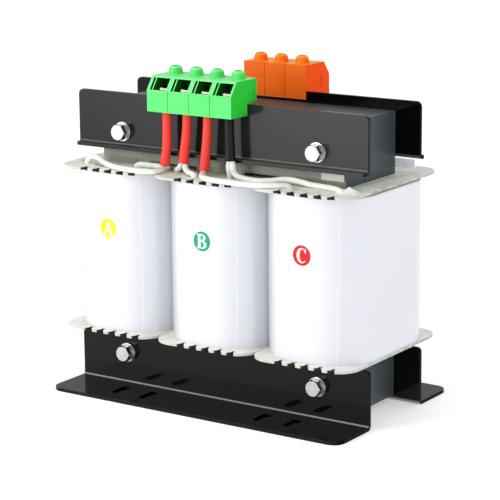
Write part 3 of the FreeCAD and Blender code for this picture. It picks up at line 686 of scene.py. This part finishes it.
# Phase stickers
def disc_mesh(name, centre, radius, y_back, thickness):
    """Thin disc facing the front, with an eased rim."""
    work = bmesh.new()
    profile = ((radius, 0.0), (radius, thickness * DISC_WALL),
               (radius - thickness * DISC_EASE, thickness))
    rings = [[work.verts.new((centre[0] + reach * cos, y_back - lift, centre[1] + reach * sin))
              for cos, sin in around(DISC_SIDES)] for reach, lift in profile]
    capped_rings(work, rings)
    return outward_mesh(name, work)


def arc(centre, reach, start, end, steps=ARC_STEPS):
    """Points of an elliptical arc, angles in degrees."""
    points = []
    for step in range(steps + 1):
        angle = math.radians(start + (end - start) * step / steps)
        points.append((centre[0] + reach[0] * math.cos(angle),
                       centre[1] + reach[1] * math.sin(angle)))
    return points


# Outlines of serif capitals in a box one unit high, holes after the outer line
LETTERS = {
    "a": [[(0.0, 0.0), (0.32, 0.0), (0.32, 0.05), (0.22, 0.07), (0.28, 0.28), (0.62, 0.28),
           (0.68, 0.07), (0.58, 0.05), (0.58, 0.0), (1.0, 0.0), (1.0, 0.05), (0.92, 0.07),
           (0.58, 1.0), (0.46, 1.0), (0.1, 0.07), (0.0, 0.05)],
          [(0.31, 0.36), (0.59, 0.36), (0.445, 0.76)]],
    "b": [[(0.0, 0.0)] + arc((0.56, 0.27), (0.37, 0.27), -90, 85)
          + arc((0.52, 0.77), (0.33, 0.23), -80, 90)
          + [(0.0, 1.0), (0.0, 0.95), (0.12, 0.93), (0.12, 0.07), (0.0, 0.05)],
          [(0.37, 0.07)] + arc((0.5, 0.27), (0.19, 0.2), -90, 90) + [(0.37, 0.47)],
          [(0.37, 0.6)] + arc((0.47, 0.765), (0.16, 0.165), -90, 90) + [(0.37, 0.93)]],
    "c": [arc((0.5, 0.5), (0.46, 0.51), 42, 318, 36) + arc((0.57, 0.5), (0.27, 0.44), 316, 44, 30)
          + [(0.8, 0.66), (0.87, 0.66), (0.88, 0.99), (0.83, 0.99), (0.8, 0.9)]],
}


def letter_mesh(phase, centre, height, y_back, thickness):
    """Raised print of one letter, facing the front."""
    curve = bpy.data.curves.new("letter", "CURVE")
    curve.dimensions = "2D"
    curve.fill_mode = "BOTH"
    curve.extrude = thickness / 2
    for outline in LETTERS[phase]:
        spline = curve.splines.new("POLY")
        spline.points.add(len(outline) - 1)
        for point, (x, y) in zip(spline.points, outline):
            point.co = ((x - 0.5) * height * LETTER_WIDTH, (y - 0.5) * height, 0.0, 1.0)
        spline.use_cyclic_u = True
    print_form = bpy.data.objects.new("letter", curve)
    bpy.context.scene.collection.objects.link(print_form)
    bpy.context.view_layer.update()
    graph = bpy.context.evaluated_depsgraph_get()
    mesh = bpy.data.meshes.new_from_object(print_form.evaluated_get(graph))
    bpy.data.objects.remove(print_form)
    turn = Matrix.Rotation(math.radians(90), 4, "X")
    middle = Vector((centre[0], y_back - thickness / 2, centre[1]))
    mesh.transform(Matrix.Translation(middle) @ turn)
    return mesh


def phase_stickers():
    """A white-edged disc with its letter on each coil."""
    white = sticker_print("sticker white", (0.86, 0.86, 0.85, 1), (0.8, 0.8, 0.8, 1))
    for phase, colour in STICKER_COLOURS.items():
        low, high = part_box("coil_wrap_" + phase)
        centre = ((low.x + high.x) / 2, STICKER_HEIGHT)
        ink = sticker_print("sticker " + phase, rgba(colour), rgba(colour, 0.85))
        backing = disc_mesh("backing", centre, STICKER_RADIUS, low.y, STICKER_THICKNESS)
        piece("sticker_backing_" + phase, backing, white)
        top = low.y - STICKER_THICKNESS
        colour_disc = disc_mesh("field", centre, STICKER_RADIUS - STICKER_BORDER, top,
                                PRINT_THICKNESS)
        piece("sticker_field_" + phase, colour_disc, ink)
        letter = letter_mesh(phase, centre, LETTER_HEIGHT, top - PRINT_THICKNESS,
                             PRINT_THICKNESS)
        piece("sticker_letter_" + phase, letter, white)


# Threads on the bolts' tails
THREAD_PITCH = 1.25 * MM
THREAD_RISE = 0.2 * MM          # above the tail's surface
THREAD_ROOT = 0.15 * MM         # below it
THREAD_STEPS = 36               # to a turn
THREAD_HALF = 0.44              # half a ridge's width, over the pitch
THREAD_FADE = 0.25              # of a turn, over which a ridge rises at its ends
TAIL_RADIUS = 4.0 * MM
TAIL_BEVEL = 0.5 * MM
HEAD_REACH = 7.506 * MM         # from a bolt's axis to its head's corners


def bolt_threads(zinc):
    """Helical ridges round the tails that stand out of the nuts at the rear."""
    bolt_low, bolt_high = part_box("through_bolts")
    nut_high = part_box("hex_nuts")[1]
    start = nut_high.y + THREAD_PITCH / 2
    end = bolt_high.y - THREAD_PITCH / 2 - TAIL_BEVEL
    count = round((end - start) / THREAD_PITCH * THREAD_STEPS)
    half = THREAD_PITCH * THREAD_HALF
    work = bmesh.new()
    for x in (bolt_low.x + HEAD_REACH, bolt_high.x - HEAD_REACH):
        for z in (bolt_low.z + HEAD_REACH, bolt_high.z - HEAD_REACH):
            rings = []
            for step in range(count + 1):
                angle = 2 * math.pi * step / THREAD_STEPS
                y = start + (end - start) * step / count
                risen = min(1.0, min(step, count - step) / (THREAD_STEPS * THREAD_FADE))
                profile = ((TAIL_RADIUS - THREAD_ROOT, y - half),
                           (TAIL_RADIUS + THREAD_RISE * risen, y),
                           (TAIL_RADIUS - THREAD_ROOT, y + half))
                rings.append([work.verts.new((x + reach * math.cos(angle), along,
                                              z + reach * math.sin(angle)))
                              for reach, along in profile])
            capped_rings(work, rings)
    piece("bolt_threads", outward_mesh("bolt_threads", work), zinc)


# Coloured sleeves below the green block, each bent a little, from its top down
SLEEVE_ROUTES = {
    "red_sleeve_1": ((-44.0, -55.0, 259.2), (-44.3, -55.0, 250.0), (-44.4, -55.0, 238.0),
                     (-44.5, -55.4, 224.0), (-45.8, -56.0, 214.0), (-46.4, -56.2, 207.5)),
    "red_sleeve_2": ((-22.9, -55.0, 259.2), (-23.2, -55.0, 250.0), (-23.9, -54.9, 238.0),
                     (-25.6, -55.5, 224.0), (-27.0, -56.0, 211.5)),
    "red_sleeve_3": ((-1.2, -55.3, 259.2), (-1.5, -55.3, 250.0), (-2.35, -55.4, 238.0),
                     (-3.6, -55.8, 224.0), (-4.8, -56.1, 212.0), (-5.3, -56.4, 206.4)),
    "black_sleeve_4": ((20.7, -56.0, 259.2), (20.9, -56.0, 246.0), (21.1, -56.0, 234.0),
                       (21.6, -56.0, 218.0)),
}
SLEEVE_RADIUS = 3.95 * MM
SLEEVE_FLARE = 0.35 * MM        # wider at the cut end
SLEEVE_WALL = 0.55 * MM
SLEEVE_SIDES = 40
SLEEVE_DENT = 0.25 * MM         # unevenness, most at the cut end
SLEEVE_GRAIN = 90.0             # dents per metre

# Glass silk sleeves over the leads
SILK_ROUTES = {
    "lead_1a": ((-47.9, -56.2, 210.0), (-48.0, -56.5, 205.8), (-45.6, -61.5, 204.7),
                (-44.6, -69.5, 204.7), (-49.0, -76.6, 204.8), (-62.0, -78.0, 204.8),
                (-78.0, -76.2, 204.8), (-92.0, -71.4, 204.8), (-104.0, -65.6, 205.4),
                (-112.0, -61.6, 207.4), (-119.0, -59.8, 208.8), (-125.6, -59.4, 207.4),
                (-128.9, -60.0, 202.6), (-129.0, -60.0, 194.0)),
    "lead_1b": ((-44.8, -56.2, 210.0), (-44.6, -55.4, 206.0), (-48.0, -51.4, 204.8),
                (-58.0, -50.6, 204.8), (-70.0, -50.8, 204.8), (-79.0, -50.4, 204.6),
                (-83.0, -49.6, 201.0), (-83.0, -49.5, 194.0)),
    "lead_2a": ((-25.6, -56.0, 214.0), (-25.2, -56.8, 208.4), (-19.4, -60.7, 204.8),
                (-12.0, -63.0, 204.6), (-9.0, -63.5, 201.5), (-9.0, -63.5, 194.0)),
    "lead_2b": ((-28.6, -56.0, 214.0), (-29.6, -56.0, 208.0), (-35.4, -53.0, 204.8),
                (-39.6, -49.4, 202.0), (-40.0, -49.0, 194.0)),
    "lead_3": ((-5.4, -56.4, 209.0), (-4.8, -58.2, 205.2), (-1.0, -66.5, 204.8),
               (7.0, -75.0, 204.8), (20.0, -78.6, 204.8), (36.0, -79.8, 204.9),
               (52.0, -79.8, 204.9), (66.0, -78.0, 204.9), (77.0, -70.4, 204.8),
               (83.0, -62.5, 204.2), (84.0, -61.0, 200.0), (84.0, -61.0, 194.0)),
    "lead_4a": ((23.3, -56.0, 220.0), (23.6, -55.8, 213.0), (24.4, -55.0, 206.6),
                (32.0, -56.5, 204.5), (44.0, -60.0, 204.4), (55.0, -61.0, 204.5),
                (65.0, -57.5, 205.6), (75.0, -52.8, 207.2), (87.0, -51.9, 206.2),
                (99.0, -52.5, 204.6), (112.0, -53.2, 204.4), (125.0, -55.8, 204.4),
                (132.4, -58.6, 203.4), (133.0, -59.0, 200.0), (133.0, -59.0, 194.0)),
    "lead_4b": ((20.0, -56.0, 220.0), (19.6, -55.8, 213.0), (18.4, -52.6, 206.0),
                (17.2, -49.9, 203.0), (17.0, -49.5, 194.0)),
}
SILK_RADIUS = 2.65 * MM
SILK_IN_SLEEVE = 1.6 * MM
SILK_SWELL = 8.0 * MM           # length over which the silk opens out below a sleeve
SILK_SIDES = 20
SILK_RIPPLE = 0.22 * MM         # unevenness of the loose silk
SILK_GRAIN = 260.0              # ripples per metre
SILK_FLAT = 0.9                 # height over width where it lies on a flange

ROUTE_STEPS = 14                # rings between two points of a route
STEEP = 0.2                     # a line this close to upright takes its side from Y


def smooth_line(points):
    """Points along one smooth spline through the route."""
    curve = bpy.data.curves.new("route", "CURVE")
    curve.dimensions = "3D"
    curve.resolution_u = ROUTE_STEPS
    spline = curve.splines.new("NURBS")
    spline.points.add(len(points) - 1)
    for point, place_at in zip(spline.points, points):
        point.co = (*(value * MM for value in place_at), 1.0)
    spline.order_u = 3
    spline.use_endpoint_u = True
    route = bpy.data.objects.new("route", curve)
    bpy.context.scene.collection.objects.link(route)
    bpy.context.view_layer.update()
    graph = bpy.context.evaluated_depsgraph_get()
    line = bpy.data.meshes.new_from_object(route.evaluated_get(graph))
    found = [vertex.co.copy() for vertex in line.vertices]
    bpy.data.objects.remove(route)
    return found


def frames_along(line):
    """Each point of a line with its direction and two axes square to it."""
    found = []
    for index, here in enumerate(line):
        before = line[max(index - 1, 0)]
        after = line[min(index + 1, len(line) - 1)]
        along = (after - before).normalized()
        side = along.cross(Vector((0.0, 0.0, 1.0)))
        if side.length < STEEP:
            side = along.cross(Vector((0.0, 1.0, 0.0)))
        side.normalize()
        found.append((here, along, side, side.cross(along).normalized()))
    return found


def sleeve_mesh(name, points):
    """Open tube with a wall, cut square at its lower end."""
    frames = frames_along(smooth_line(points))
    work = bmesh.new()
    skins = []
    for inset in (0.0, SLEEVE_WALL):
        skin = []
        for index, (here, _along, side, lift) in enumerate(frames):
            share = index / (len(frames) - 1)
            radius = SLEEVE_RADIUS + SLEEVE_FLARE * share ** 3 - inset
            ring = []
            for cos, sin in around(SLEEVE_SIDES):
                outward = cos * side + sin * lift
                dent = field.noise((here + outward * radius) * SLEEVE_GRAIN) * SLEEVE_DENT * share
                ring.append(work.verts.new(here + outward * (radius + dent)))
            skin.append(ring)
        skins.append(skin)
    outer, inner = skins
    ring_faces(work, outer + inner[::-1] + outer[:1])
    return outward_mesh(name, work, smooth=True)


def silk_mesh(name, points):
    """Loose woven tube round a line, narrow where the sleeve holds it."""
    work = bmesh.new()
    rings = []
    travelled = 0.0
    before = Vector(points[0]) * MM
    for here, along, side, lift in frames_along(smooth_line(points)):
        travelled += (here - before).length
        before = here
        opened = min(1.0, travelled / SILK_SWELL)
        opened = opened * opened * (3.0 - 2.0 * opened)
        radius = SILK_IN_SLEEVE + (SILK_RADIUS - SILK_IN_SLEEVE) * opened
        lying = 1.0 - abs(along.z)
        ring = []
        for cos, sin in around(SILK_SIDES):
            outward = cos * side + sin * lift
            wander = field.noise((here + outward * radius) * SILK_GRAIN) * SILK_RIPPLE * opened
            squeeze = 1.0 - (1.0 - SILK_FLAT) * lying * abs(sin)
            ring.append(work.verts.new(here + outward * (radius * squeeze + wander)))
        rings.append(ring)
    capped_rings(work, rings)
    return outward_mesh(name, work, smooth=True)


def coloured_sleeves():
    red = sleeving("red sleeve", (0.87, 0.055, 0.036, 1), (0.7, 0.032, 0.02, 1), 0.3)
    black = sleeving("black sleeve", (0.007, 0.007, 0.007, 1), (0.003, 0.003, 0.003, 1), 0.2)
    for name, points in SLEEVE_ROUTES.items():
        colour, material = ("red", red) if name.startswith("red") else ("black", black)
        cover([name], material)
        bent = piece("bent_" + name, sleeve_mesh(name, points), material)
        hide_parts(name)


def silk_sleeves():
    silk = glass_braid()
    cover(list(SILK_ROUTES), silk)
    for name, points in SILK_ROUTES.items():
        sleeve = piece("silk_" + name, silk_mesh(name, points), silk)
        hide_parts(name)
    tape_end(silk)


# Varnished end of tape on the right upper flange, over the last lead's hole
TAPE_MIDDLE = (137.5 * MM, -55.5 * MM)
TAPE_REACH = (12.5 * MM, 5.2 * MM)
TAPE_TURN = math.radians(28.0)
TAPE_RISE = 4.4 * MM
TAPE_EDGE = 0.28                # unevenness of its outline, over its reach
TAPE_EDGE_GRAIN = 1.7           # how fast it changes round the edge
TAPE_CRUMPLE = 0.8              # unevenness of its height, over the height
TAPE_GRAIN = 260.0              # crumples per metre
TAPE_SIDES = 48
TAPE_RINGS = 14


def tape_end(material):
    """Small crumpled peak that lies on the flange."""
    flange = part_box("bobbin_c")[1].z
    cos_turn, sin_turn = math.cos(TAPE_TURN), math.sin(TAPE_TURN)
    work = bmesh.new()
    rings = []
    for index in range(1, TAPE_RINGS + 1):
        share = index / TAPE_RINGS
        ring = []
        for cos, sin in around(TAPE_SIDES):
            spot = Vector((cos, sin, 0.0))
            outline = 1.0 + TAPE_EDGE * field.noise(spot * TAPE_EDGE_GRAIN)
            long = TAPE_REACH[0] * share * outline * spot.x
            short = TAPE_REACH[1] * share * outline * spot.y
            x = TAPE_MIDDLE[0] + long * cos_turn - short * sin_turn
            y = TAPE_MIDDLE[1] + long * sin_turn + short * cos_turn
            crumple = 1.0 + TAPE_CRUMPLE * field.noise(Vector((x, y, 0.0)) * TAPE_GRAIN)
            rise = TAPE_RISE * (1.0 - share) * (1.0 - share ** 2) ** 0.5 * crumple
            ring.append(work.verts.new((x, y, flange + rise)))
        rings.append(ring)
    peak = work.verts.new((*TAPE_MIDDLE, flange + TAPE_RISE))
    for step in range(TAPE_SIDES):
        work.faces.new((peak, rings[0][step], rings[0][(step + 1) % TAPE_SIDES]))
    ring_faces(work, rings)
    work.faces.new(rings[-1][::-1])
    mesh = outward_mesh("tape_end", work, smooth=True)
    piece("tape_end", mesh, material)


# Setting
def floor():
    """Pale ground that glows a little, with a painted shadow below the feet, where it does not
    glow.
    """
    mesh = bpy.data.meshes.new("floor")
    work = bmesh.new()
    work.faces.new([work.verts.new((x * FLOOR_REACH, y * FLOOR_REACH, 0.0))
                    for x, y in ((-1, -1), (1, -1), (1, 1), (-1, 1))])
    work.to_mesh(mesh)
    work.free()
    material, tree, shader = finish("pale floor")
    cloud = noise(tree, place(tree), 3.0, 2.0)
    body = mix_colour(tree, cloud, (0.93, 0.93, 0.93, 1), (0.95, 0.95, 0.95, 1))
    x, y = (maths(tree, "ABSOLUTE", value) for value in split(tree, place(tree))[:2])
    # painted shadow: below the feet the floor is painted near black and its glow is turned off
    painted_foot_shadow = product(tree, spread(tree, x, *FEET_ENDS, 1.0, 0.0),
                         spread(tree, y, *FEET_INNER, 0.0, 1.0),
                         spread(tree, y, *FEET_OUTER, 1.0, 0.0))
    body = mix_colour(tree, painted_foot_shadow, body, (0.02, 0.02, 0.02, 1))
    dress(shader, tree, Base_Color=body, Roughness=0.9, Emission_Color=(1.0, 1.0, 1.0, 1.0),
          Emission_Strength=spread(tree, painted_foot_shadow, 0.0, 1.0, FLOOR_GLOW, 0.0))
    mesh.materials.append(material)
    obj = bpy.data.objects.new("floor", mesh)
    bpy.context.scene.collection.objects.link(obj)


def soft_light(name, place_at, look_at, size, power):
    """Lamp with a wide face, which the camera doesn't see."""
    data = bpy.data.lights.new(name, "AREA")
    data.shape = "RECTANGLE"
    data.size, data.size_y = size
    data.energy = power
    obj = bpy.data.objects.new(name, data)
    direction = Vector(look_at) - Vector(place_at)
    obj.rotation_euler = direction.to_track_quat("-Z", "Y").to_euler()
    obj.location = place_at
    obj.visible_camera = False
    bpy.context.scene.collection.objects.link(obj)


def studio():
    """An even pale backdrop and the lamps."""
    world = bpy.data.worlds.new("studio")
    world.use_nodes = True
    backdrop = world.node_tree.nodes["Background"]
    backdrop.inputs["Color"].default_value = BACKDROP_COLOUR
    backdrop.inputs["Strength"].default_value = BACKDROP_STRENGTH
    bpy.context.scene.world = world
    for name, settings in LIGHTS.items():
        soft_light(name, *settings)


camera()
dress_nodes()
phase_stickers()
bolt_threads(nodes["through_bolts"].data.materials[0])
coloured_sleeves()
silk_sleeves()
floor()
studio()
bpy.context.scene.view_settings.view_transform = "Standard"
